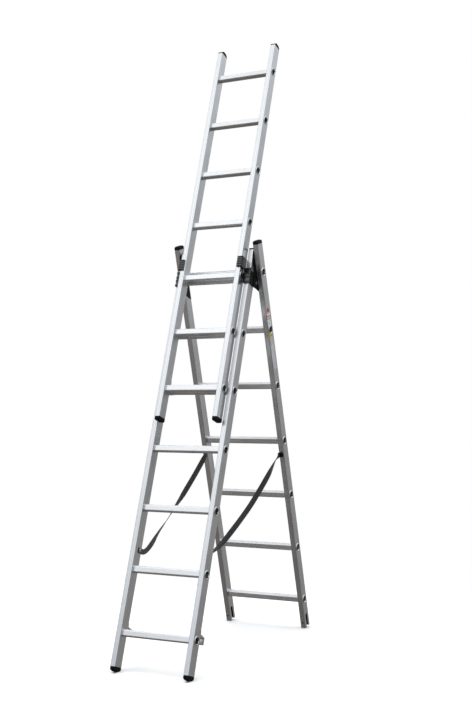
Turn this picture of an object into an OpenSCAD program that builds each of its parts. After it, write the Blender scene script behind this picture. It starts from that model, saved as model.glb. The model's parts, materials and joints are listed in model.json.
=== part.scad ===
// Combination ladder of three rung sections, stood as a stepladder with its third section run out at the top.
// The middle section (base) is the front leg, the widest (rear) is hinged behind it, and the
// narrowest (fly) hangs on hooks in front of the base. +X is right, +Y runs from the front legs to
// the rear legs, +Z is up, and the floor is z = 0.
// Inside a section, u runs up the stiles from rung 1 and v runs square to them, from front to back.

/* [Sections] */
// Distance from rung to rung
rung_pitch = 280; // [250:5:290]
// Outer width of the fly section
fly_width = 325; // [315:1:327]
// Outer width of the base section
base_width = 390; // [388:1:391]
// Outer width of the rear section
rear_width = 452; // [452:1:460]
// Distance of the fly's rungs in front of the base's rungs
nest_depth = 43; // [42:1:46]
// Rungs of the base that the fly is run out by
fly_steps = 4; // [0:1:4]

/* [Stiles and rungs] */
// Width of a stile tube, across the ladder
stile_w = 25; // [24:1:26]
// Depth of a stile tube, front to back
stile_d = 54; // [50:1:56]
// Wall of a stile tube
stile_wall = 1.8; // [1.4:0.2:2.4]
// Side of the square rung tube
rung_side = 30; // [28:1:30]
// Wall of a rung tube
rung_wall = 1.6; // [1.2:0.2:2]

/* [Stance] */
// Lean of the base and the fly from upright
lean_front = 19.8; // [18:0.1:21]
// Lean of the rear section from upright
lean_rear = 14.8; // [14:0.1:16]
// Height of the hinge above rung 1, along the base stile
hinge_u = 1675; // [1660:1:1685]
// Distance of the hinge behind the centre of the base stile
hinge_v = 41; // [39:1:46]
// Distance between the rung rows of base and rear when they are folded together
fold_depth = 80; // [80:1:84]
// Height of the rear's rungs above the base's when they are folded together
fold_shift = 40; // [37:1:40]

/* [Hidden] */

rungs = 7;
span = (rungs - 1) * rung_pitch;      // from rung 1 to rung 7

// Stile ends, measured from the nearest rung
base_below = 146;
base_above = 140;
fly_below = 140;
fly_above = 145;
rear_below = 150.2;
rear_above = 136;

// Small parts of the tubes
stile_round = 2.5;
groove_v = 23;
groove_depth = 0.7;
rung_round = 6;
flare_r = 20.3;                       // outer radius of the rolled rim outside a stile
flare_bead = 2.2;                     // radius of the rim's bead
flare_h = 2.4;
flare_h_flat = 1.3;                   // height of the rim that is pressed flat under the hinge's ear
flare_mouth = [14, 16.3];             // radii of the rim's mouth, inside and outside
rung_hole_gap = 0.1;

// End caps, plugs and feet
foot_h = 22;
foot_round = 19;
sole_flat = 2;                        // how much of the foot's round edge the floor takes off
cap_gap = 0.1;                        // between a plug and the tube it is pushed into
plug_length = 18;

// Hook
hook_w = 22;
hook_t = 4;                           // thickness of the plate that is riveted on
hook_rivet_x = [-6, 6];               // from the middle of the stile
hook_rivet_u = 39;                    // above the rung below
hook_seat = rung_side / 2 + 3.3;      // underside of the hook above the rung below it
fly_drop = 2.5;                       // rest height of the fly's rungs below the base's
rivet_r = 2.4;

// Guide bracket
arm_gap = 2.9;                        // between the fly's stile and the bracket's arm
bracket_low = span - 35;
bracket_high = span + 42;
clip_low = span + 32;
clip_high = span + 86;

// Hinge plates and pin
plate_t = 2.7;
pin_r = 5;
pin_gap = 0.05;
ear_low = span - 35;
ear_high = span + 32;
lobe_r = 28;
lobe_slope = 32.6;                    // of the rear plate's lower edge, which runs down and back from the lobe

// Slot and bolt at the rear's lower ends, for a floor bar
slot_w = 19;
slot_h = 72;
bolt_r = 4.25;
bolt_u = -120;

// Straps
strap_w = 25;
strap_t = 1.6;
strap_gap = 0.3;
base_anchor = [10, 369];              // v and u of the screw on the base's stile
rear_anchor_u = 775;
screw_r = 2.5;

// The base's frame: rung 1 stands where the foot just meets the floor
foot_centre = [-stile_d / 2 + foot_round, stile_d / 2 - foot_round, -(base_below + foot_h) + foot_round];
front_z = foot_round - sole_flat - foot_centre[2] * cos(lean_front) + foot_centre[1] * sin(lean_front);

// The hinge and the rear's frame, worked out from the folded position
rear_u = hinge_u - fold_shift;
rear_v = hinge_v - fold_depth;
hinge_y0 = hinge_u * sin(lean_front) + hinge_v * cos(lean_front);
hinge_z = front_z + hinge_u * cos(lean_front) - hinge_v * sin(lean_front);
rear_y0 = hinge_y0 + rear_u * sin(lean_rear) - rear_v * cos(lean_rear);
rear_z = hinge_z - rear_u * cos(lean_rear) - rear_v * sin(lean_rear);

// The origin lies midway between the foremost and the rearmost point
front_most = foot_centre[2] * sin(lean_front) + foot_centre[0] * cos(lean_front) - foot_round;
rear_most = rear_y0 + rear_below * sin(lean_rear) + stile_d / 2 * cos(lean_rear);
front_y = -(front_most + rear_most) / 2;
rear_y = rear_y0 + front_y;

silver = [0.80, 0.81, 0.83];
zinc = [0.62, 0.63, 0.65];
black = [0.10, 0.10, 0.11];

// ---------- frames ----------

module in_base() translate([0, front_y, front_z]) rotate([-lean_front, 0, 0]) children();
module in_fly() in_base() translate([0, -nest_depth, fly_steps * rung_pitch - fly_drop]) children();
module in_rear() translate([0, rear_y, rear_z]) rotate([lean_rear, 0, 0]) children();

// The left-hand part is the mirror image of the right-hand one
module on_side(side) if (side > 0) children(); else mirror([1, 0, 0]) children();
module both_sides() for (side = [-1, 1]) on_side(side) children();

// An outline drawn in v and u, drawn out along x
module along_x(from, to) translate([from, 0, 0]) rotate([90, 0, 90]) linear_extrude(to - from) children();

// Keeps what is above the floor
module above_floor() intersection() {
    children();
    translate([-500, -1500, 0]) cube([1000, 3000, 4000]);
}

// ---------- outlines ----------

module rounded_rect(w, d, r) {
    square([w - 2 * r, d], center = true);
    square([w, d - 2 * r], center = true);
    for (x = [-1, 1], y = [-1, 1]) translate([x * (w / 2 - r), y * (d / 2 - r)]) circle(r, $fn = 32);
}

module round_topped(w, h, r) {
    translate([-w / 2, 0]) square([w, h - r]);
    translate([-w / 2 + r, 0]) square([w - 2 * r, h]);
    for (x = [-1, 1]) translate([x * (w / 2 - r), h - r]) circle(r, $fn = 48);
}

// An upright rim with an arch on it
module arched(w, rim, h) {
    arch_r = (w * w / 4 + (h - rim) * (h - rim)) / (2 * (h - rim));
    translate([-w / 2, 0]) square([w, rim]);
    intersection() {
        translate([0, h - arch_r]) circle(arch_r, $fn = 128);
        translate([-w / 2, rim / 2]) square([w, h]);
    }
}

module stile_outline() difference() {
    rounded_rect(stile_w, stile_d, stile_round);
    rounded_rect(stile_w - 2 * stile_wall, stile_d - 2 * stile_wall, 1);
    for (x = [-1, 1], v = [-1, 1])
        translate([x * stile_w / 2, v * groove_v]) square([2 * groove_depth, 2], center = true);
    for (v = [-1, 1], x = [-5, 5])
        translate([x, v * stile_d / 2]) square([1.4, 2 * groove_depth], center = true);
}

// ---------- shared parts ----------

// Right-hand stile tube of a section, with a hole for every rung
module stile(width, below, above) difference() {
    translate([width / 2 - stile_w / 2, 0, -below]) linear_extrude(below + span + above) stile_outline();
    for (i = [0 : rungs - 1]) translate([0, 0, i * rung_pitch])
        along_x(width / 2 - stile_w - 1, width / 2 + 1)
            rounded_rect(rung_side + 2 * rung_hole_gap, rung_side + 2 * rung_hole_gap, rung_round);
}

// Rolled rim of a rung's end, standing on the plane z = 0
module flare(height) rotate_extrude($fn = 64) {
    square([flare_r - 2 * flare_bead + 0.5, 0.5]);
    intersection() {
        translate([flare_r - flare_bead, height - flare_bead]) circle(flare_bead, $fn = 32);
        square([flare_r + 1, height + 1]);
    }
}

// One rung: a square tube with treads, and a rolled rim outside each stile
module rung(width, rim = flare_h) {
    bore = rung_side - 2 * rung_wall;
    tread = width - 2 * stile_w - 2;
    along_x(-width / 2, width / 2) difference() {
        rounded_rect(rung_side, rung_side, rung_round);
        rounded_rect(bore, bore, rung_round - rung_wall);
    }
    along_x(-tread / 2, tread / 2) for (k = [-2 : 2]) {
        translate([k * 4.2, rung_side / 2 + 0.3]) square([1.8, 0.8], center = true);
        translate([-rung_side / 2 - 0.2, k * 4.2]) square([0.6, 1.4], center = true);
    }
    both_sides() difference() {
        translate([width / 2, 0, 0]) rotate([0, 90, 0]) difference() {
            flare(rim);
            cylinder(r1 = flare_mouth[0], r2 = flare_mouth[1], h = rim + 0.1, $fn = 64);
        }
        along_x(width / 2 - 1, width / 2 + rim + 1) rounded_rect(bore, bore, rung_round - rung_wall);
    }
}

// Domed block over a stile's end, with the plug that holds it in the tube
module end_cap(width, height, round_r) translate([width / 2 - stile_w / 2, 0, 0]) {
    intersection() {
        along_x(-stile_w / 2, stile_w / 2) round_topped(stile_d, height, round_r);
        rotate([90, 0, 0]) linear_extrude(stile_d + 2, center = true) round_topped(stile_w, height, round_r * 0.6);
        linear_extrude(height) rounded_rect(stile_w, stile_d, stile_round);
    }
    translate([0, 0, -plug_length]) linear_extrude(plug_length) plug_outline();
}

// Cap over a stile's end that is arched from front to back
module arched_cap(width, rim, height) translate([width / 2 - stile_w / 2, 0, 0]) {
    intersection() {
        along_x(-stile_w / 2, stile_w / 2) arched(stile_d, rim, height);
        rotate([90, 0, 0]) linear_extrude(stile_d + 2, center = true) round_topped(stile_w, height, stile_round);
        linear_extrude(height) rounded_rect(stile_w, stile_d, stile_round);
    }
    translate([0, 0, -plug_length]) linear_extrude(plug_length) plug_outline();
}

module plug_outline() rounded_rect(
    stile_w - 2 * (stile_wall + cap_gap), stile_d - 2 * (stile_wall + cap_gap), 1);

// Hook behind a stile, open downwards, that drops over a rung of the section behind
module hook(width) {
    back = stile_d / 2;
    mid = width / 2 - stile_w / 2;
    difference() {
        along_x(mid - hook_w / 2, mid + hook_w / 2) polygon([
            [back, hook_seat], [56, hook_seat], [60, hook_seat - 4], [60, -8], [62, -10], [66, -10],
            [68, -8], [68, 19], [64, 23], [56, 25],
            [33, 31], [back + hook_t, 33], [back + hook_t, 45], [back + hook_t - 1, 46], [back, 46]]);
        translate([mid - 3, 64.5, -5]) cube([6, 10, 22]);
        for (x = hook_rivet_x) translate([mid + x, back - 1, hook_rivet_u]) rotate([-90, 0, 0])
            cylinder(r = rivet_r, h = 2 * hook_t, $fn = 32);
    }
}

// A rivet standing on the plane z = 0, its shank going down through a plate and a tube's wall
module rivet(grip) {
    cylinder(r1 = 4.2, r2 = 3, h = 1.3, $fn = 32);
    translate([0, 0, -grip]) cylinder(r = rivet_r, h = grip, $fn = 32);
    translate([0, 0, -grip - 1.5]) cylinder(r = 3.4, h = 1.5, $fn = 32);
}

module hook_rivets(width) both_sides() for (x = hook_rivet_x)
    translate([width / 2 - stile_w / 2 + x, stile_d / 2 + hook_t, hook_rivet_u]) rotate([-90, 0, 0])
        rivet(hook_t + stile_wall);

module hook_rivet_holes(width) for (x = hook_rivet_x)
    translate([width / 2 - stile_w / 2 + x, stile_d / 2 - 5, hook_rivet_u]) rotate([-90, 0, 0])
        cylinder(r = rivet_r, h = 8, $fn = 32);

// Pan-headed screw with its washer; the strap lies under the washer
module strap_screw(grip) {
    cylinder(r = 9, h = 1.2, $fn = 48);
    translate([0, 0, 1.2]) cylinder(r1 = 5.5, r2 = 4, h = 2.6, $fn = 32);
    translate([0, 0, -grip]) cylinder(r = screw_r, h = grip, $fn = 32);
}

// ---------- fly section ----------

module fly_stile(side) color(silver) in_fly() on_side(side) difference() {
    stile(fly_width, fly_below, fly_above);
    hook_rivet_holes(fly_width);
}
module fly_rung(i) color(silver) in_fly() translate([0, 0, (i - 1) * rung_pitch]) rung(fly_width);
module fly_top_cap(side) color(black) in_fly() on_side(side)
    translate([0, 0, span + fly_above]) arched_cap(fly_width, 3, 18);
module fly_bottom_plug(side) color(black) in_fly() on_side(side)
    translate([0, 0, -fly_below]) mirror([0, 0, 1]) end_cap(fly_width, 20, 12);
module fly_hook(side) color(zinc) in_fly() on_side(side) hook(fly_width);
module fly_hook_rivets() color(zinc) in_fly() hook_rivets(fly_width);

// ---------- base section ----------

plate_rivets = [[-14, ear_low + 10], [-14, ear_high - 10]];      // v and u on the base's stile

module base_stile(side) color(silver) in_base() on_side(side) difference() {
    stile(base_width, base_below, base_above);
    hook_rivet_holes(base_width);
    for (p = plate_rivets) translate([base_width / 2 - 5, p[0], p[1]]) rotate([0, 90, 0])
        cylinder(r = rivet_r, h = 10, $fn = 32);
    translate([base_width / 2 - stile_w - 5, base_anchor[0], base_anchor[1]]) rotate([0, 90, 0])
        cylinder(r = screw_r, h = 10, $fn = 32);
}
module base_rung(i) color(silver) in_base() translate([0, 0, (i - 1) * rung_pitch])
    rung(base_width, i < rungs ? flare_h : flare_h_flat);
module base_top_cap(side) color(black) in_base() on_side(side)
    translate([0, 0, span + base_above]) end_cap(base_width, 8.5, 2.5);
module base_foot(side) color(black) above_floor() in_base() on_side(side)
    translate([0, 0, -base_below]) mirror([0, 0, 1]) end_cap(base_width, foot_h, foot_round);
module base_hook(side) color(zinc) in_base() on_side(side) hook(base_width);
module base_hook_rivets() color(zinc) in_base() hook_rivets(base_width);

// Half-round ribs across a face that looks to the front
module ribs(from, to, v, us, r) for (u = us) along_x(from, to) intersection() {
    translate([v, u]) circle(r, $fn = 32);
    translate([v - r, u - r]) square([r + 1, 2 * r]);
}

// Ribbed block on the front of the base's stile, and the arm that reaches past the fly's stile and hooks round it
module guide_bracket(side) color(black) in_base() on_side(side) {
    arm_in = fly_width / 2 + arm_gap;
    arm_out = base_width / 2 - stile_w - 0.3;
    face = -stile_d / 2;
    lip_back = -nest_depth + face - 0.4;
    lip_front = lip_back - 6;
    lip_in = fly_width / 2 - stile_w + 7;
    block_out = base_width / 2 + plate_t + 0.6;
    block_mid = (bracket_low + bracket_high) / 2;
    clip_ribs = [clip_low + 4 : 11.5 : clip_high];
    translate([arm_in, face - 7, bracket_low]) cube([block_out - arm_in, 7, bracket_high - bracket_low]);
    ribs(arm_in + 1, block_out, face - 7, [bracket_low + 6, block_mid - 8, block_mid + 8, bracket_high - 6], 4);
    along_x(arm_in, arm_out) polygon([
        [lip_front, clip_low], [face, clip_low], [face, clip_high - 4], [face - 4, clip_high],
        [lip_front, clip_high]]);
    translate([lip_in, lip_front, clip_low]) cube([arm_in + 1 - lip_in, 6, clip_high - clip_low]);
    ribs(lip_in, arm_out, lip_front, clip_ribs, 3);
    for (u = clip_ribs) translate([arm_out - 1, lip_front, u - 3]) cube([2.2, 36, 6]);
}

// Ear on the outer side of the base's stile that carries the hinge pin
module base_hinge_plate(side) color(black) in_base() on_side(side) {
    x0 = base_width / 2;
    difference() {
        along_x(x0, x0 + plate_t) {
            polygon([[-stile_d / 2, ear_low + 4], [8, ear_low], [hinge_v, hinge_u - 26],
                [hinge_v, hinge_u + 26], [8, ear_high], [-stile_d / 2, ear_high]]);
            translate([hinge_v, hinge_u]) circle(26, $fn = 96);
        }
        translate([x0 - 1, 0, span]) rotate([0, 90, 0])
            cylinder(r = flare_r + 1.2, h = 1 + flare_h_flat + 0.3, $fn = 64);
        translate([x0 - 1, hinge_v, hinge_u]) rotate([0, 90, 0]) cylinder(r = pin_r, h = 10, $fn = 64);
        for (p = plate_rivets) translate([x0 - 1, p[0], p[1]]) rotate([0, 90, 0])
            cylinder(r = rivet_r, h = 10, $fn = 32);
    }
}
module base_plate_rivets() color(black) in_base() both_sides() for (p = plate_rivets)
    translate([base_width / 2 + plate_t, p[0], p[1]]) rotate([0, 90, 0]) rivet(plate_t + stile_wall);

// The pin is held in the ear; the rear's plate turns on it, between the ear and the flush outer head
module hinge_pin(side) color(zinc) in_base() on_side(side) translate([0, hinge_v, hinge_u]) rotate([0, 90, 0]) {
    ear_in = base_width / 2;
    plate_out = rear_width / 2 - stile_w;
    translate([0, 0, ear_in - 5]) cylinder(r = 9, h = 5, $fn = 64);
    translate([0, 0, ear_in - 1]) cylinder(r = pin_r, h = plate_out - 0.2 - ear_in + 1, $fn = 64);
    translate([0, 0, plate_out - 1.2]) cylinder(r = 8, h = 1, $fn = 64);
}
module base_strap_screws() color(zinc) in_base() both_sides()
    translate([base_width / 2 - stile_w - strap_t - 2 * strap_gap, base_anchor[0], base_anchor[1]])
        rotate([0, -90, 0]) strap_screw(strap_t + 2 * strap_gap + stile_wall + 3);

// ---------- rear section ----------

// Where the plate's edges leave the lobe
lobe_low = [rear_v, rear_u] - lobe_r * [sin(lobe_slope), cos(lobe_slope)];
lobe_high = [rear_v, rear_u] + lobe_r * [-sin(lobe_slope), cos(lobe_slope)];

rear_rivets = [[6, rear_u - 30], [-8, rear_u + 84], [10, rear_u + 124]];    // v and u on the rear's stile

module floor_slot() along_x(rear_width / 2 - stile_w - 5, rear_width / 2 + 5) {
    translate([-slot_w / 2, -rear_below - 5]) square([slot_w, slot_h + 5 - slot_w / 2]);
    translate([0, -rear_below + slot_h - slot_w / 2]) circle(slot_w / 2, $fn = 48);
}
module floor_bolt() translate([rear_width / 2 - stile_w / 2, -stile_d, bolt_u]) rotate([-90, 0, 0])
    cylinder(r = bolt_r, h = 2 * stile_d, $fn = 48);

module rear_stile(side) color(silver) above_floor() in_rear() on_side(side) difference() {
    stile(rear_width, rear_below, rear_above);
    floor_slot();
    floor_bolt();
    for (p = rear_rivets) translate([rear_width / 2 - stile_w - 5, p[0], p[1]]) rotate([0, 90, 0])
        cylinder(r = rivet_r, h = 10, $fn = 32);
    translate([rear_width / 2 - stile_w / 2, -stile_d / 2 - 5, rear_anchor_u]) rotate([-90, 0, 0])
        cylinder(r = screw_r, h = 10, $fn = 32);
}
module rear_rung(i) color(silver) in_rear() translate([0, 0, (i - 1) * rung_pitch]) rung(rear_width);
module rear_top_cap(side) color(black) in_rear() on_side(side)
    translate([0, 0, span + rear_above]) end_cap(rear_width, 18, 13);

// Black liner in the rear stile's lower end, slotted and drilled with it
module rear_bottom_insert(side) color(black) in_rear() on_side(side) difference() {
    translate([rear_width / 2 - stile_w / 2, 0, -rear_below + 3]) linear_extrude(slot_h + 8) plug_outline();
    floor_slot();
    floor_bolt();
}

// Plate on the inner side of the rear's stile, whose lobe turns on the hinge pin
module rear_hinge_plate(side) color(black) in_rear() on_side(side) {
    x1 = rear_width / 2 - stile_w;
    difference() {
        along_x(x1 - plate_t, x1) {
            polygon([lobe_low, [22, rear_u - 73], [22, rear_u + 144], [12, rear_u + 154],
                [-24, rear_u + 154], [-33, rear_u + 145], [-33, rear_u + 58], lobe_high]);
            translate([rear_v, rear_u]) circle(lobe_r, $fn = 96);
        }
        translate([x1 - 10, rear_v, rear_u]) rotate([0, 90, 0]) cylinder(r = pin_r + pin_gap, h = 20, $fn = 64);
        translate([x1 - 1.4, rear_v, rear_u]) rotate([0, 90, 0]) cylinder(r = 8.3, h = 3, $fn = 64);
        along_x(x1 - 10, x1 + 5) translate([0, span]) rounded_rect(rung_side + 2, rung_side + 2, rung_round);
        for (p = rear_rivets) translate([x1 - 10, p[0], p[1]]) rotate([0, 90, 0])
            cylinder(r = rivet_r, h = 20, $fn = 32);
    }
}
module rear_plate_rivets() color(black) in_rear() both_sides() for (p = rear_rivets)
    translate([rear_width / 2 - stile_w - plate_t, p[0], p[1]]) rotate([0, -90, 0]) rivet(plate_t + stile_wall);
module rear_strap_screws() color(black) in_rear() both_sides()
    translate([rear_width / 2 - stile_w / 2, -stile_d / 2 - strap_t - 2 * strap_gap, rear_anchor_u])
        rotate([90, 0, 0]) strap_screw(strap_t + 2 * strap_gap + stile_wall + 3);

// ---------- straps ----------

// Route of the right-hand strap, as x, y and z from the base's rung 1: along the stile's inner face,
// down in a slack curve, up to the rear's stile and round its front edge
strap_route = [[168.8, 122, 346], [168.8, 140, 340], [169.2, 165, 336], [171, 205, 343], [174, 267, 370],
    [178, 343, 412], [183, 429, 460], [188, 520, 514], [193, 616, 576], [197, 707, 640], [199, 773, 690],
    [199.5, 808, 717]];

function unit(a) = a / norm(a);
function from_rear(x, v, u) = [x, rear_y + v * cos(lean_rear) - u * sin(lean_rear),
    rear_z + v * sin(lean_rear) + u * cos(lean_rear)];

module strap_band() {
    face = -stile_d / 2 - strap_gap - strap_t / 2;
    edge = rear_width / 2 - stile_w;
    ends = [from_rear(edge - 1.5, face - 7, rear_anchor_u - 2), from_rear(edge, face - 2, rear_anchor_u - 1.5),
        from_rear(edge + 4, face, rear_anchor_u), from_rear(edge + 22, face, rear_anchor_u)];
    path = concat([for (p = strap_route) p + [0, front_y, front_z]], ends);
    n = len(path);
    tangents = [for (i = [0 : n - 1]) unit(path[min(i + 1, n - 1)] - path[max(i - 1, 0)])];
    // The band stands on edge: its width points up, and up the rear's stile where it is screwed down
    stile_up = [0, -sin(lean_rear), cos(lean_rear)];
    widths = [for (i = [0 : n - 1]) let (up = i < len(strap_route) ? [0, 0, 1] : stile_up, t = tangents[i])
        unit(up - (up * t) * t)];
    points = [for (i = [0 : n - 1]) let (w = widths[i], h = cross(tangents[i], w))
        each [for (c = [[-1, -1], [1, -1], [1, 1], [-1, 1]])
            path[i] + w * c[0] * strap_w / 2 + h * c[1] * strap_t / 2]];
    quads = [for (i = [0 : n - 2], k = [0 : 3]) let (a = 4 * i + k, b = 4 * i + (k + 1) % 4) [b, a, a + 4, b + 4]];
    polyhedron(points, concat([[0, 1, 2, 3]], quads, [[for (k = [3 : -1 : 0]) 4 * (n - 1) + k]]));
}
module strap(side) color(black) on_side(side) difference() {
    strap_band();
    in_base() translate([base_width / 2 - stile_w - 8, base_anchor[0], base_anchor[1]]) rotate([0, 90, 0])
        cylinder(r = screw_r + 0.3, h = 9, $fn = 16);
    in_rear() translate([rear_width / 2 - stile_w / 2, -stile_d / 2 - 6, rear_anchor_u]) rotate([-90, 0, 0])
        cylinder(r = screw_r + 0.3, h = 7, $fn = 16);
}

// ---------- nodes ----------

fly_stile(-1);  // fly_stile_left
fly_stile(1);  // fly_stile_right
for (i = [1 : rungs]) fly_rung(i);
fly_top_cap(-1);  // fly_top_cap_left
fly_top_cap(1);  // fly_top_cap_right
fly_bottom_plug(-1);  // fly_bottom_plug_left
fly_bottom_plug(1);  // fly_bottom_plug_right
fly_hook(-1);  // fly_hook_left
fly_hook(1);  // fly_hook_right
fly_hook_rivets();

base_stile(-1);  // base_stile_left
base_stile(1);  // base_stile_right
for (i = [1 : rungs]) base_rung(i);
base_top_cap(-1);  // base_top_cap_left
base_top_cap(1);  // base_top_cap_right
base_foot(-1);  // base_foot_left
base_foot(1);  // base_foot_right
base_hook(-1);  // base_hook_left
base_hook(1);  // base_hook_right
base_hook_rivets();
guide_bracket(-1);  // guide_bracket_left
guide_bracket(1);  // guide_bracket_right
base_hinge_plate(-1);  // base_hinge_plate_left
base_hinge_plate(1);  // base_hinge_plate_right
base_plate_rivets();
hinge_pin(-1);  // hinge_pin_left
hinge_pin(1);  // hinge_pin_right
base_strap_screws();

rear_stile(-1);  // rear_stile_left
rear_stile(1);  // rear_stile_right
for (i = [1 : rungs]) rear_rung(i);
rear_top_cap(-1);  // rear_top_cap_left
rear_top_cap(1);  // rear_top_cap_right
rear_bottom_insert(-1);  // rear_bottom_insert_left
rear_bottom_insert(1);  // rear_bottom_insert_right
rear_hinge_plate(-1);  // rear_hinge_plate_left
rear_hinge_plate(1);  // rear_hinge_plate_right
rear_plate_rivets();
rear_strap_screws();

strap(-1);  // strap_left
strap(1);  // strap_right
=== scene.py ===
"""Looks of the combination ladder: materials, webbing straps, stickers, floor, light and camera."""

import json
import math

import bmesh
import bpy
from mathutils import Matrix, Vector


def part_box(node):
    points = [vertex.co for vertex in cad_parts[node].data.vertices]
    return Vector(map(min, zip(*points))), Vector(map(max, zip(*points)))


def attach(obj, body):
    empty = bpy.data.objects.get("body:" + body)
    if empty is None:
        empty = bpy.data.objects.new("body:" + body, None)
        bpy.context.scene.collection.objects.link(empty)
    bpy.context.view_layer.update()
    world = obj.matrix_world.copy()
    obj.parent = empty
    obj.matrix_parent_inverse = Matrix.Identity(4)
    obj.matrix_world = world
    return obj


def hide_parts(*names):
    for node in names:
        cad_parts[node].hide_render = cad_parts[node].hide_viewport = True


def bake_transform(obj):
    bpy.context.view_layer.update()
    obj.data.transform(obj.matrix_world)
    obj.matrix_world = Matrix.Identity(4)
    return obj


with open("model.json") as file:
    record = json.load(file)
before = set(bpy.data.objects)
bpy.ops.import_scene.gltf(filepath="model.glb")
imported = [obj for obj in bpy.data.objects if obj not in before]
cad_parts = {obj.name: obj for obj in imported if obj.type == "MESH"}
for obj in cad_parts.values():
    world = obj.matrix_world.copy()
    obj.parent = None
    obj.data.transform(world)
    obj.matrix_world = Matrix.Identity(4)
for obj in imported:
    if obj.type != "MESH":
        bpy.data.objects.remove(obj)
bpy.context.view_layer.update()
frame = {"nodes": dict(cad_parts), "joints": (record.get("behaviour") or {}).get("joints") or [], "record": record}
scene = bpy.context.scene
joints = {j["name"]: j for j in frame["joints"]}

MM = 0.001
# The stiles' outer size, in millimetres
STILE_WIDTH = 25
STILE_DEPTH = 54

# ---------- the ladder's own directions, from the frame ----------

# How far the front sections and the rear lean from upright, in radians
LEAN_FRONT = math.asin(joints["fly_slide"]["axis"][1])
LEAN_REAR = math.radians(joints["rear_fold"]["range_deg"][1]) - LEAN_FRONT


def centre(node):
    low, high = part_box(node)
    return (low + high) / 2


class Section:
    """One rung section: v runs from front to back, u up the stiles from rung 1."""

    def __init__(self, name, lean):
        self.name = name
        self.origin = centre(f"{name}_rung_1")
        self.lean = lean
        self.up = Vector((0, math.sin(lean), math.cos(lean)))
        self.back = Vector((0, math.cos(lean), -math.sin(lean)))

    def local_height(self, u):
        """Where u lies along the section's own up direction, in metres from the row frame's origin."""
        return self.origin.dot(self.up) + u * MM

    def point(self, x, v, u):
        """A point at x, v and u in millimetres, in the row frame in metres."""
        return Vector((x * MM, self.origin.y, self.origin.z)) + (self.back * v + self.up * u) * MM


FLY = Section("fly", LEAN_FRONT)
BASE = Section("base", LEAN_FRONT)
REAR = Section("rear", -LEAN_REAR)
SECTIONS = {s.name: s for s in (FLY, BASE, REAR)}

# ---------- materials ----------


class Shader:
    """A Principled material whose pattern runs in a section's own x, v and u."""

    def __init__(self, name, lean=0.0, **fixed):
        self.material = bpy.data.materials.new(name)
        self.material.use_nodes = True
        self.tree = self.material.node_tree
        self.surface = self.tree.nodes["Principled BSDF"]
        for socket, value in fixed.items():
            self.surface.inputs[socket.replace("_", " ")].default_value = value
        coordinates = self.node("ShaderNodeTexCoord").outputs["Object"]
        turned = self.node("ShaderNodeMapping")
        turned.inputs["Rotation"].default_value = (lean, 0, 0)
        self.link(coordinates, turned.inputs["Vector"])
        self.coordinates = turned.outputs["Vector"]
        self.bump_in = None

    def node(self, kind, **settings):
        made = self.tree.nodes.new(kind)
        for key, value in settings.items():
            setattr(made, key, value)
        return made

    def link(self, output, socket):
        self.tree.links.new(output, socket)

    def noise(self, scale, detail=4, rough=0.6, stretch=(1, 1, 1)):
        """A noise value; stretch multiplies its scale along x, v and u."""
        mapping = self.node("ShaderNodeMapping")
        mapping.inputs["Scale"].default_value = stretch
        self.link(self.coordinates, mapping.inputs["Vector"])
        made = self.node("ShaderNodeTexNoise")
        made.inputs["Scale"].default_value = scale
        made.inputs["Detail"].default_value = detail
        made.inputs["Roughness"].default_value = rough
        self.link(mapping.outputs["Vector"], made.inputs["Vector"])
        return made.outputs["Fac"]

    def ramp(self, value, stops):
        """Turns a value into a colour; stops are (position, colour) pairs."""
        made = self.node("ShaderNodeValToRGB")
        elements = made.color_ramp.elements
        while len(elements) < len(stops):
            elements.new(0.5)
        for element, (position, colour) in zip(elements, stops):
            element.position = position
            element.color = (*colour, 1)
        self.link(value, made.inputs["Fac"])
        return made.outputs["Color"]

    def levels(self, value, low, high):
        """Maps a noise's middle part to low..high."""
        made = self.node("ShaderNodeMapRange")
        made.inputs["From Min"].default_value = 0.3
        made.inputs["From Max"].default_value = 0.7
        made.inputs["To Min"].default_value = low
        made.inputs["To Max"].default_value = high
        self.link(value, made.inputs["Value"])
        return made.outputs["Result"]

    def mix(self, first, second):
        """The product of two colours."""
        made = self.node("ShaderNodeMix", data_type="RGBA", blend_type="MULTIPLY")
        made.inputs["Factor"].default_value = 1.0
        self.link(first, made.inputs["A"])
        self.link(second, made.inputs["B"])
        return made.outputs["Result"]

    def math(self, operation, *values):
        """A Math node; a value is an output or a number."""
        made = self.node("ShaderNodeMath", operation=operation)
        for socket, value in zip(made.inputs, values):
            if isinstance(value, (int, float)):
                socket.default_value = value
            else:
                self.link(value, socket)
        return made.outputs["Value"]

    def wave(self, length, period_mm):
        """A sine from 0 to 1 along a length in metres."""
        turns = self.math("MULTIPLY", length, 2 * math.pi / (period_mm * MM))
        return self.math("MULTIPLY_ADD", self.math("SINE", turns), 0.5, 0.5)

    def axis(self, letter):
        """Distance along x (X), v (Y) or u (Z) in metres."""
        parts = self.node("ShaderNodeSeparateXYZ")
        self.link(self.coordinates, parts.inputs["Vector"])
        return parts.outputs[letter]

    def uv(self, layer):
        """The two coordinates of a UV map."""
        parts = self.node("ShaderNodeSeparateXYZ")
        self.link(self.node("ShaderNodeUVMap", uv_map=layer).outputs["UV"], parts.inputs["Vector"])
        return parts.outputs["X"], parts.outputs["Y"]

    def bump(self, height, depth_mm, strength=1.0):
        """Adds relief of that depth; calls build on each other."""
        made = self.node("ShaderNodeBump")
        made.inputs["Strength"].default_value = strength
        made.inputs["Distance"].default_value = depth_mm * MM
        self.link(height, made.inputs["Height"])
        if self.bump_in is not None:
            self.link(self.bump_in, made.inputs["Normal"])
        self.bump_in = made.outputs["Normal"]
        self.link(self.bump_in, self.surface.inputs["Normal"])

    def colour(self, output):
        self.link(output, self.surface.inputs["Base Color"])

    def roughness(self, output):
        self.link(output, self.surface.inputs["Roughness"])


TONE = (0.80, 0.815, 0.835)
RUNG_TONE = (0.90, 0.91, 0.92)


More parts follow.
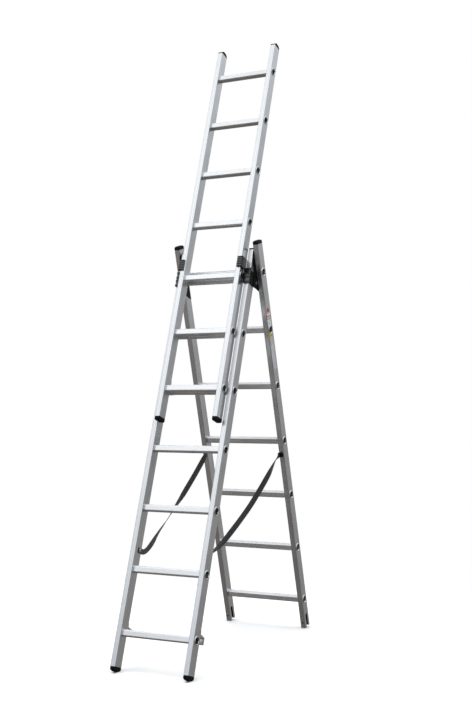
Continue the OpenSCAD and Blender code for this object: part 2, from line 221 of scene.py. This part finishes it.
def scaled(tone, factor):
    return tuple(c * factor for c in tone)


def extruded(s, along, tone):
    """Mill-finished aluminium: fine drawn lines along the extrusion, and cloudy handling marks."""
    lines = [1, 1, 1]
    lines[along] = 0.006
    streaks = s.noise(700, 3, 0.7, lines)
    cloud = s.noise(9, 5, 0.55)
    drawn = s.ramp(streaks, [(0.25, scaled(tone, 0.965)), (0.5, tone), (0.8, scaled(tone, 1.015))])
    smudged = s.ramp(cloud, [(0.35, (0.93, 0.925, 0.92)), (0.6, (1, 1, 1))])
    s.colour(s.mix(drawn, smudged))
    s.roughness(s.levels(cloud, 0.24, 0.34))
    s.bump(streaks, 0.007)
    return s


def stile_metal(name, lean):
    return extruded(Shader(name, lean, Metallic=1.0), 2, TONE).material


def rung_metal(name, lean):
    """The rungs' treads also have fine cross serrations."""
    s = extruded(Shader(name, lean, Metallic=1.0), 0, RUNG_TONE)
    s.bump(s.wave(s.axis("X"), 2.6), 0.015)
    return s.material


def rubber(name, lean):
    s = Shader(name, lean, Specular_IOR_Level=0.15)
    dust = s.noise(60, 6, 0.7)
    s.colour(s.ramp(dust, [(0.35, (0.003, 0.003, 0.003)), (0.62, (0.005, 0.005, 0.005)),
                           (0.85, (0.02, 0.019, 0.018))]))
    s.roughness(s.levels(dust, 0.5, 0.7))
    s.bump(s.noise(1500, 2, 0.5), 0.05)
    return s.material


def moulded(name, lean):
    """Black nylon with a fine spark-eroded grain."""
    s = Shader(name, lean, Specular_IOR_Level=0.2)
    cloud = s.noise(35, 5, 0.6)
    s.colour(s.ramp(cloud, [(0.3, (0.003, 0.003, 0.0035)), (0.7, (0.006, 0.006, 0.007))]))
    s.roughness(s.levels(cloud, 0.6, 0.75))
    s.bump(s.noise(2200, 2, 0.5), 0.04)
    return s.material


def satin(name, lean):
    """The same nylon, worn smooth on the guide brackets by the sliding fly."""
    s = Shader(name, lean, Specular_IOR_Level=1.0)
    cloud = s.noise(35, 5, 0.6)
    s.colour(s.ramp(cloud, [(0.3, (0.001, 0.001, 0.0012)), (0.7, (0.003, 0.003, 0.004))]))
    s.roughness(s.levels(cloud, 0.14, 0.24))
    s.bump(s.noise(1600, 2, 0.5), 0.02)
    return s.material


def painted_shade_recess(name, lean):
    """The same nylon deep inside a tube's end: dull with dust, and painted a darker black with weak reflection as
    painted shade of the recess.
    """
    # Painted shade: little reflection and a darker black than the moulded nylon's stand for the shade deep in the
    # tube's end; the mottle in it is dust
    s = Shader(name, lean, Specular_IOR_Level=0.03)
    dust = s.noise(50, 6, 0.7)
    s.colour(s.ramp(dust, [(0.35, (0.001, 0.001, 0.001)), (0.7, (0.003, 0.003, 0.003))]))
    s.roughness(s.levels(dust, 0.75, 0.95))
    s.bump(s.noise(1400, 2, 0.5), 0.03)
    return s.material


def coated(name, lean):
    """Black powder coat with a slight orange peel."""
    s = Shader(name, lean, Specular_IOR_Level=0.2, Coat_Weight=0.03, Coat_Roughness=0.4)
    peel = s.noise(420, 3, 0.5)
    s.colour(s.ramp(s.noise(50, 5, 0.6), [(0.3, (0.003, 0.003, 0.003)), (0.75, (0.006, 0.006, 0.007))]))
    s.roughness(s.levels(peel, 0.45, 0.6))
    s.bump(peel, 0.05)
    return s.material


def plated(name, lean, dark, light, rough):
    """Zinc-plated steel: small crystals and a slightly mottled tone."""
    s = Shader(name, lean, Metallic=1.0)
    mottle = s.noise(90, 6, 0.65)
    s.colour(s.ramp(mottle, [(0.3, dark), (0.7, light)]))
    s.roughness(s.levels(s.noise(300, 4, 0.6), rough - 0.06, rough + 0.08))
    s.bump(s.noise(900, 3, 0.5), 0.012)
    return s.material


def cast(name, lean):
    return plated(name, lean, (0.68, 0.68, 0.69), (0.84, 0.84, 0.85), 0.26)


def zinc(name, lean):
    return plated(name, lean, (0.55, 0.56, 0.57), (0.72, 0.72, 0.73), 0.28)


WEAVE = "weave"          # the strap's UV map: across and along the webbing, in metres


def webbing(name, lean):
    """Charcoal polyester webbing: a herringbone of fine ribs, raised cords along it and a worn nap."""
    s = Shader(name, lean, Sheen_Weight=0.25, Sheen_Roughness=0.5, Specular_IOR_Level=0.25)
    across, along = s.uv(WEAVE)
    chevron = s.math("PINGPONG", across, 3.1 * MM)
    ribs = s.wave(s.math("ADD", along, chevron), 1.3)
    cords = s.wave(across, 1.55)
    weave = s.math("MULTIPLY", ribs, s.math("MULTIPLY_ADD", cords, 0.5, 0.5))
    nap = s.noise(240, 5, 0.65)
    yarn = s.ramp(weave, [(0.1, (0.006, 0.006, 0.007)), (0.9, (0.028, 0.029, 0.033))])
    worn = s.ramp(nap, [(0.3, (0.8, 0.8, 0.8)), (0.75, (1.25, 1.22, 1.2))])
    s.colour(s.mix(yarn, worn))
    s.roughness(s.levels(nap, 0.7, 0.9))
    s.bump(weave, 0.25)
    return s.material


MAKERS = {
    "stile_aluminium": stile_metal,
    "rung_aluminium": rung_metal,
    "rubber": rubber,
    "black_plastic": moulded,
    "black_coated_steel": coated,
    "cast_hook": cast,
    "webbing": webbing,
    "zinc_plated_steel": zinc,
}
# Finishes of nodes that differ from their slot's, by the start of the node's name; the rear bottom insert's is
# painted shade
OWN_FINISH_OR_PAINTED_SHADE = {"guide_bracket": satin, "rear_bottom_insert": painted_shade_recess}
finishes = {}


def finish_of(slot, section, maker=None):
    """The slot's material with its pattern turned to the section's lean."""
    maker = maker or MAKERS[slot]
    key = f"{slot}_{maker.__name__}_{section.name}"
    if key not in finishes:
        finishes[key] = maker(key, section.lean)
    return finishes[key]


def add_object(name, shape, material):
    """Turns a bmesh into an object of the scene."""
    mesh = bpy.data.meshes.new(name)
    shape.to_mesh(mesh)
    shape.free()
    mesh.materials.append(material)
    made = bpy.data.objects.new(name, mesh)
    scene.collection.objects.link(made)
    return made


def section_of(node):
    """The section that a node belongs to; pins, brackets and straps go with the base."""
    return SECTIONS.get(node.split("_")[0], BASE)


for part in frame["record"]["subparts"]:
    if part["material_slot"] != "webbing":
        shown = frame["nodes"][part["node"]]
        shown.data.materials.clear()
        own = next((made for kind, made in OWN_FINISH_OR_PAINTED_SHADE.items() if part["node"].startswith(kind)), None)
        shown.data.materials.append(finish_of(part["material_slot"], section_of(part["node"]), own))

# ---------- straps ----------

# Route of a strap from the base to the rear, in millimetres from the base's rung 1, with how much higher the
# strap lies there and how far it is turned, in degrees from standing on edge, on the right and on the left
STRAP_ROUTE = [
    ((168.8, 122, 346), (0, 0), (0, 0)),
    ((168.8, 140, 340), (2, -1), (0, 0)),
    ((169.2, 165, 336), (8, -5), (24, 0)),
    ((173, 205, 343), (9, -6), (24, -10)),
    ((179, 267, 370), (5, -5), (-14, -12)),
    ((185, 343, 412), (3, -3), (-40, 24)),
    ((190, 429, 460), (2, -1), (-56, 34)),
    ((194, 520, 514), (0, 0), (-44, 4)),
    ((197, 616, 576), (0, 0), (-50, -46)),
    ((199, 707, 640), (0, 0), (-34, -54)),
    ((199.8, 773, 690), (0, 0), (14, -46)),
    ((200, 808, 717), (0, 0), (30, -24)),
]
STRAP_WIDTH = 25
STRAP_THICK = 1.6
STRAP_GAP = 0.3
REAR_EDGE = 201          # inner face of the rear's stile
REAR_FACE = -STILE_DEPTH / 2 - STRAP_GAP - STRAP_THICK / 2
REAR_ANCHOR = 775        # height of the rear's strap screw above its rung 1
TURN_SPANS = 1.5         # spans of the route before the rear, in which the webbing turns to its lean
# Waves of the loose webbing: height in millimetres, radians per metre and where they start
RIPPLES = [(0.9, 47, 1), (0.5, 113, 2)]
CURL = (1.2, 29, 1.3)
# The route's last points: x, v and u from the edge, face and anchor
STRAP_END = [(-1.5, -7, -2), (0, -2, -1.5), (4, 0, 0), (22, 0, 0)]


def smooth(points, steps):
    """Catmull-Rom points through the given ones, with so many steps for each span."""
    padded = [points[0] * 2 - points[1], *points, points[-1] * 2 - points[-2]]
    made = []
    for a, b, c, d in zip(padded, padded[1:], padded[2:], padded[3:]):
        for i in range(steps):
            t = i / steps
            made.append((b * 2 + (c - a) * t + (a * 2 - b * 5 + c * 4 - d) * t * t
                         + (b * 3 - c * 3 + d - a) * t ** 3) / 2)
    return [*made, points[-1]]


# One face of the webbing: (across, thick) as shares of its half width and half thickness
SELVEDGE = [(-1, 0.35), (-0.97, 0.9), (-0.9, 0.8), (-0.5, 0.75), (0, 0.8),
            (0.5, 0.75), (0.9, 0.8), (0.97, 0.9), (1, 0.35)]


def strap_profile():
    """Across the webbing: (width, thickness) in millimetres round a flat band with rolled selvedges."""
    half, thick = STRAP_WIDTH / 2, STRAP_THICK / 2
    front = [(half * w, thick * t) for w, t in SELVEDGE]
    return front + [(w, -t) for w, t in reversed(front)]


def strap(side):
    """Webbing strap of one side, swept along its route, turning as it goes."""
    name = "left" if side < 0 else "right"
    start = centre("base_rung_1")
    own = 1 if side < 0 else 0
    turns = [Vector((turned[own], 0, 0)) for _, _, turned in STRAP_ROUTE]
    route = [Vector((x * side, y, z + higher[own])) * MM + start for (x, y, z), higher, _ in STRAP_ROUTE]
    for x, v, u in STRAP_END:
        route.append(REAR.point((REAR_EDGE + x) * side, REAR_FACE + v, REAR_ANCHOR + u))
        turns.append(Vector((0, 0, 0)))
    free = len(STRAP_ROUTE)
    steps = 9
    line = smooth(route, steps)
    roll = [math.radians(p.x) for p in smooth(turns, steps)]
    profile = strap_profile()
    shape = bmesh.new()
    weave = shape.loops.layers.uv.new(WEAVE)
    rings, lengths, total = [], [], 0.0
    for i, place in enumerate(line):
        before, after = line[max(i - 1, 0)], line[min(i + 1, len(line) - 1)]
        along = (after - before).normalized()
        blend = min(max((i / steps - free + TURN_SPANS) / TURN_SPANS, 0), 1)
        standing = Vector((0, 0, 1)).lerp(REAR.up, blend)
        across = (standing - along * standing.dot(along)).normalized()
        out = along.cross(across)
        width = across * math.cos(roll[i]) + out * math.sin(roll[i])
        thick = along.cross(width)
        total += (place - before).length if i else 0
        lengths.append(total)
        loose = math.sin(math.pi * min(max(i / (free * steps), 0), 1)) ** 2
        ripple = loose * sum(high * math.sin(total * rate + phase * side) for high, rate, phase in RIPPLES)
        curl = loose * CURL[0] * math.sin(total * CURL[1] + CURL[2] * side)
        ring = []
        for w, t in profile:
            bulge = ripple * w / STRAP_WIDTH + curl * (2 * w / STRAP_WIDTH) ** 2
            ring.append(shape.verts.new(place + width * w * MM + thick * (t + bulge) * MM))
        rings.append(ring)
    count = len(profile)
    for i in range(len(rings) - 1):
        for k in range(count):
            n = (k + 1) % count
            face = shape.faces.new((rings[i][k], rings[i][n], rings[i + 1][n], rings[i + 1][k]))
            for loop, (j, m) in zip(face.loops, ((i, k), (i, n), (i + 1, n), (i + 1, k))):
                loop[weave].uv = (profile[m][0] * MM, lengths[j])
    shape.faces.new(reversed(rings[0]))
    shape.faces.new(rings[-1])
    bmesh.ops.recalc_face_normals(shape, faces=shape.faces)
    for face in shape.faces:
        face.smooth = True
    made = add_object(f"webbing_strap_{name}", shape, finish_of("webbing", BASE))
    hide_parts(f"strap_{name}")
    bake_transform(made)


for side in (-1, 1):
    strap(side)

# ---------- stickers ----------


FILM = 0.2               # thickness of a sticker, in millimetres
FILM_GAP = 0.05          # between the sticker and the stile
FILM_MIDDLE = -4         # v of the stickers' middle
# Layers of a film with a worn upper rim: shares of its thickness and of its size
FILM_LAYERS = [(0, 1.0), (0.7, 1.0), (1, 0.985)]


def rounded_outline(width, height, radius, steps=6):
    """Points of a rectangle with round corners, each in so many steps."""
    corners = [(1, 1, 0), (-1, 1, 90), (-1, -1, 180), (1, -1, 270)]
    return [(a * (width / 2 - radius) + radius * math.cos(math.radians(start + 90 * k / steps)),
             b * (height / 2 - radius) + radius * math.sin(math.radians(start + 90 * k / steps)))
            for a, b, start in corners for k in range(steps + 1)]


def printed(name, paper, ink, bars):
    """Glossy printed film: bars are (low, high) stretches of ink along u, in millimetres from rung 1."""
    s = Shader(name, REAR.lean, Specular_IOR_Level=0.5, Coat_Weight=0.3, Coat_Roughness=0.15)
    place = s.math("SUBTRACT", s.axis("Z"), REAR.local_height(0))
    grain = s.noise(300, 4, 0.6)
    inked = None
    for low, high in bars:
        above = s.math("GREATER_THAN", place, low * MM)
        inside = s.math("MULTIPLY", above, s.math("LESS_THAN", place, high * MM))
        inked = inside if inked is None else s.math("ADD", inked, inside)
    ground = s.ramp(grain, [(0.3, scaled(paper, 0.93)), (0.7, paper)])
    s.colour(ground if inked is None else s.mix(ground, s.ramp(inked, [(0.0, (1, 1, 1)), (1.0, ink)])))
    s.roughness(s.levels(grain, 0.3, 0.42))
    s.bump(grain, 0.01)
    return s.material


def sticker(name, material, low, high, width, radius):
    """A film on the outer face of the rear's right stile, from u = low to high."""
    face = REAR_EDGE + STILE_WIDTH + FILM_GAP
    shape = bmesh.new()
    outline = rounded_outline(width, high - low, radius)
    middle = (low + high) / 2
    layers = []
    for lift, size in FILM_LAYERS:
        x = face + FILM * lift
        ring = [REAR.point(x, FILM_MIDDLE + v * size, middle + u * size) for v, u in outline]
        layers.append([shape.verts.new(point) for point in ring])
    for below, above in zip(layers, layers[1:]):
        for k in range(len(outline)):
            n = (k + 1) % len(outline)
            shape.faces.new((below[k], below[n], above[n], above[k]))
    shape.faces.new(layers[0])
    shape.faces.new(layers[-1])
    bmesh.ops.recalc_face_normals(shape, faces=shape.faces)
    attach(add_object(name, shape, material), "rear")


# Form, then the film's name, paper, ink and inked stretches, then low, high, width and corner radius
STICKERS = [
    ("dot", ("red", (0.62, 0.02, 0.015), (1, 1, 1), []), (1484, 1506, 22, 10.9)),
    ("card", ("white", (0.93, 0.93, 0.94), (0.75, 0.2, 0.19), [(1462, 1468), (1451, 1455)]),
     (1422, 1480, 38, 3)),
    ("square", ("yellow", (0.85, 0.66, 0.02), (0.3, 0.25, 0.1), [(1369, 1372)]), (1360, 1380, 30, 2)),
    ("strip", ("grey", (0.74, 0.745, 0.78), (0.85, 0.85, 0.87), [(1215, 1240), (1325, 1350)]),
     (1208, 1355, 34, 3)),
]
for form, (film, paper, ink, bars), place in STICKERS:
    sticker(f"sticker_{form}", printed(f"sticker_{film}", paper, ink, bars), *place)

# ---------- stage ----------


# Metres from the middle where the floor starts and ends blending into the white backdrop
FLOOR_FADE = (0.9, 2.2)


def make_floor():
    """A pale disc that takes the ladder's shadow and fades out before its rim."""
    s = Shader("floor", Roughness=0.9, Specular_IOR_Level=0.1)
    s.colour(s.ramp(s.noise(3, 3, 0.5), [(0.3, (0.93, 0.93, 0.93)), (0.7, (0.95, 0.95, 0.95))]))
    squares = [s.math("POWER", s.axis(letter), 2) for letter in "XY"]
    distance = s.math("SQRT", s.math("ADD", *squares))
    fade = s.node("ShaderNodeMapRange", interpolation_type="SMOOTHSTEP")
    limits = {"From Min": FLOOR_FADE[0], "From Max": FLOOR_FADE[1], "To Min": 1, "To Max": 0}
    for socket, value in limits.items():
        fade.inputs[socket].default_value = value
    s.link(distance, fade.inputs["Value"])
    s.link(fade.outputs["Result"], s.surface.inputs["Alpha"])
    shape = bmesh.new()
    bmesh.ops.create_circle(shape, cap_ends=True, segments=96, radius=FLOOR_FADE[1])
    floor = add_object("floor", shape, s.material)
    floor.visible_glossy = False


# Brightness of the studio by height: the z of a direction, from straight down to straight up
STUDIO = [(-1.0, (0.09, 0.08, 0.07)), (-0.6, (0.15, 0.14, 0.13)), (-0.35, (0.225, 0.21, 0.197)),
          (-0.05, (0.3, 0.297, 0.293)), (0.18, (0.42, 0.43, 0.44)), (0.34, (0.78, 0.82, 0.87)),
          (0.48, (1.1, 1.13, 1.17)), (0.62, (1.46, 1.48, 1.5)), (0.78, (1.08, 1.1, 1.12)),
          (1.0, (1.05, 1.07, 1.1))]


def make_world():
    """A studio that is dark below and bright above, with flags at the far left and the front right, and
    a white backdrop that only the camera sees."""
    world = bpy.data.worlds.new("studio")
    scene.world = world
    world.use_nodes = True
    tree = world.node_tree
    lit = tree.nodes["Background"]
    backdrop = tree.nodes.new("ShaderNodeBackground")
    backdrop.inputs["Color"].default_value = (1, 1, 1, 1)
    direction = tree.nodes.new("ShaderNodeTexCoord")
    parts = tree.nodes.new("ShaderNodeSeparateXYZ")
    height = tree.nodes.new("ShaderNodeMapRange")
    height.inputs["From Min"].default_value = -1
    ramp = tree.nodes.new("ShaderNodeValToRGB")
    elements = ramp.color_ramp.elements
    while len(elements) < len(STUDIO):
        elements.new(0.5)
    for element, (z, colour) in zip(elements, STUDIO):
        element.position = (z + 1) / 2
        element.color = (*colour, 1)
    seen = tree.nodes.new("ShaderNodeLightPath")
    mix = tree.nodes.new("ShaderNodeMixShader")
    tree.links.new(direction.outputs["Generated"], parts.inputs["Vector"])
    tree.links.new(parts.outputs["Z"], height.inputs["Value"])
    tree.links.new(height.outputs["Result"], ramp.inputs["Fac"])
    tree.links.new(flags(tree, direction.outputs["Generated"]), lit.inputs["Strength"])
    tree.links.new(ramp.outputs["Color"], lit.inputs["Color"])
    tree.links.new(seen.outputs["Is Camera Ray"], mix.inputs["Fac"])
    tree.links.new(lit.outputs["Background"], mix.inputs[1])
    tree.links.new(backdrop.outputs["Background"], mix.inputs[2])
    tree.links.new(mix.outputs["Shader"], tree.nodes["World Output"].inputs["Surface"])


# Flags that darken a side of the studio: direction, where they start and end along it, and what they leave
FLAGS = [((-1, 0, 0), 0.62, 0.85, 0.12), ((0.8, -0.6, 0), 0.35, 0.85, 0.5)]


def flags(tree, direction):
    """How much of the studio's light is left in a direction."""
    left = None
    for towards, start, end, rest in FLAGS:
        along = tree.nodes.new("ShaderNodeVectorMath")
        along.operation = "DOT_PRODUCT"
        along.inputs[1].default_value = towards
        tree.links.new(direction, along.inputs[0])
        cut = tree.nodes.new("ShaderNodeMapRange")
        limits = {"From Min": start, "From Max": end, "To Min": 1, "To Max": rest}
        for socket, value in limits.items():
            cut.inputs[socket].default_value = value
        tree.links.new(along.outputs["Value"], cut.inputs["Value"])
        if left is None:
            left = cut.outputs["Result"]
        else:
            both = tree.nodes.new("ShaderNodeMath")
            both.operation = "MULTIPLY"
            tree.links.new(left, both.inputs[0])
            tree.links.new(cut.outputs["Result"], both.inputs[1])
            left = both.outputs["Value"]
    return left


def softbox(name, place, aim, size, power):
    """A rectangular lamp that lights the ladder and the floor but isn't mirrored in the metal."""
    data = bpy.data.lights.new(name, "AREA")
    data.shape = "RECTANGLE"
    data.size, data.size_y = size
    data.energy = power
    lamp = bpy.data.objects.new(name, data)
    lamp.location = place
    lamp.rotation_euler = (Vector(aim) - Vector(place)).to_track_quat("-Z", "Y").to_euler()
    lamp.visible_camera = False
    lamp.visible_glossy = False
    scene.collection.objects.link(lamp)


make_floor()
make_world()
softbox("overhead", (-0.6, -0.8, 6.5), (0, 0, 0), (5, 5), 260)

# ---------- camera ----------

CAMERA_PLACE = centre("base_rung_1") + Vector((2.5492, -4.2007, 1.1065))
CAMERA_YAW = math.radians(27.12)
CAMERA_PITCH = math.radians(1.26)
CAMERA_ROLL = -0.0119
CAMERA_LENS = 57.33


def make_camera():
    data = bpy.data.cameras.new("camera")
    data.sensor_width = 36
    data.lens = CAMERA_LENS
    camera = bpy.data.objects.new("camera", data)
    forward = Vector((-math.sin(CAMERA_YAW) * math.cos(CAMERA_PITCH),
                      math.cos(CAMERA_YAW) * math.cos(CAMERA_PITCH), math.sin(CAMERA_PITCH)))
    level = Vector((math.cos(CAMERA_YAW), math.sin(CAMERA_YAW), 0))
    above = level.cross(forward)
    right = level * math.cos(CAMERA_ROLL) + above * math.sin(CAMERA_ROLL)
    up = above * math.cos(CAMERA_ROLL) - level * math.sin(CAMERA_ROLL)
    turn = Matrix((right, up, -forward)).transposed().to_4x4()
    camera.matrix_world = Matrix.Translation(CAMERA_PLACE) @ turn
    scene.collection.objects.link(camera)
    scene.camera = camera


make_camera()
scene.view_settings.view_transform = "Standard"
